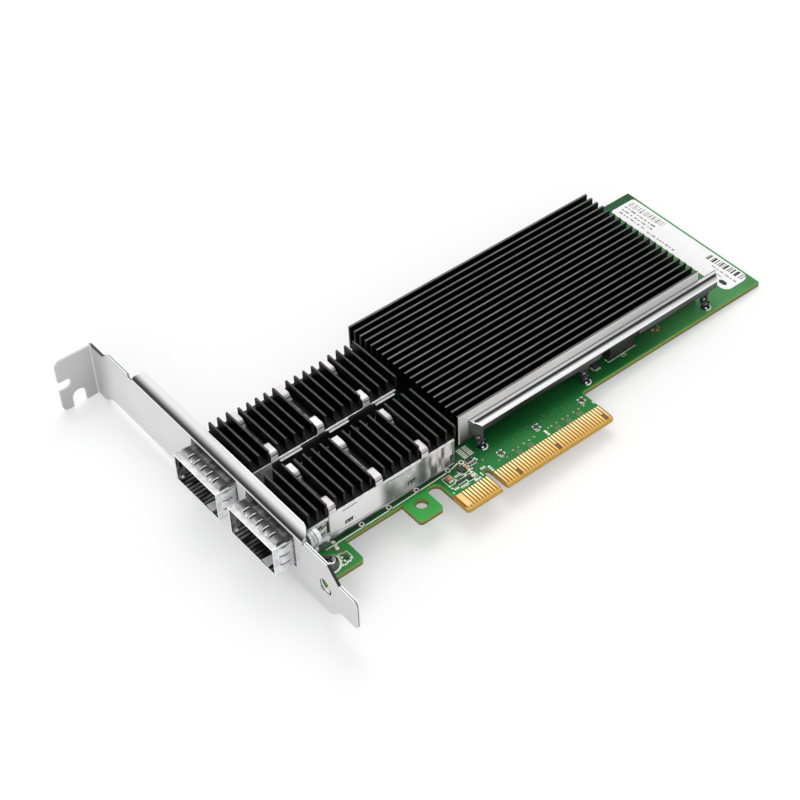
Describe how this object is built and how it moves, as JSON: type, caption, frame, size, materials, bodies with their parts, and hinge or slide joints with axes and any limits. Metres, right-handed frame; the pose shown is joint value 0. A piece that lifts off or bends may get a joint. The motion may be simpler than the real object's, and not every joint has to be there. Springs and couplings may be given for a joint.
{
  "type": "network interface card",
  "caption": "Low-profile network card with two module ports, finned port heat sinks, a large finned heat sink, steel bracket and gold edge contacts.",
  "frame": {"origin": "centre of the key notch at the lower edge of the edge connector, mid-thickness of the board", "axes": "+X from the bracket to the far end, +Y from the edge contacts to the top edge, +Z out of the component side"},
  "size_m": [0.1786, 0.1209, 0.0233],
  "materials": {
    "solder_mask_board": "satin solder mask over glass-fibre board",
    "gold_plate": "gold plated",
    "bracket_steel": "plated sheet steel, satin",
    "cage_steel": "plated sheet, satin",
    "black_anodised": "black anodised, bare metal on cut fin tops and one side",
    "spring_steel": "bright spring steel",
    "bar_metal": "brushed",
    "dark_plastic": "moulded, matt",
    "clear_plastic": "clear polycarbonate",
    "paper_label": "matt white label stock",
    "ceramic": "fired ceramic with tinned ends",
    "thermal_paste": "soft pad",
    "lamp": "moulded"
  },
  "bodies": {
    "root": {"board": "solder_mask_board", "contacts_top": "gold_plate", "contacts_bottom": "gold_plate", "bracket": "bracket_steel", "bracket_lugs": "bracket_steel", "bracket_screws": "spring_steel", "cage_1_shell": "cage_steel", "cage_2_shell": "cage_steel", "emi_collar_1": "spring_steel", "emi_collar_2": "spring_steel", "host_connector_1": "dark_plastic", "host_connector_2": "dark_plastic", "port_heat_sink_1": "black_anodised", "port_heat_sink_2": "black_anodised", "heat_sink_clip_1": "spring_steel", "heat_sink_clip_2": "spring_steel", "main_heat_sink": "black_anodised", "hold_down_bar": "bar_metal", "bar_anchors": "spring_steel", "controller_chip": "dark_plastic", "thermal_pad": "thermal_paste", "light_pipe": "clear_plastic", "indicator_leds": "lamp", "tall_block": "dark_plastic", "chip_capacitors": "ceramic", "chip_resistors": "dark_plastic", "small_chips": "dark_plastic", "label": "paper_label"}
  },
  "joints": []
}
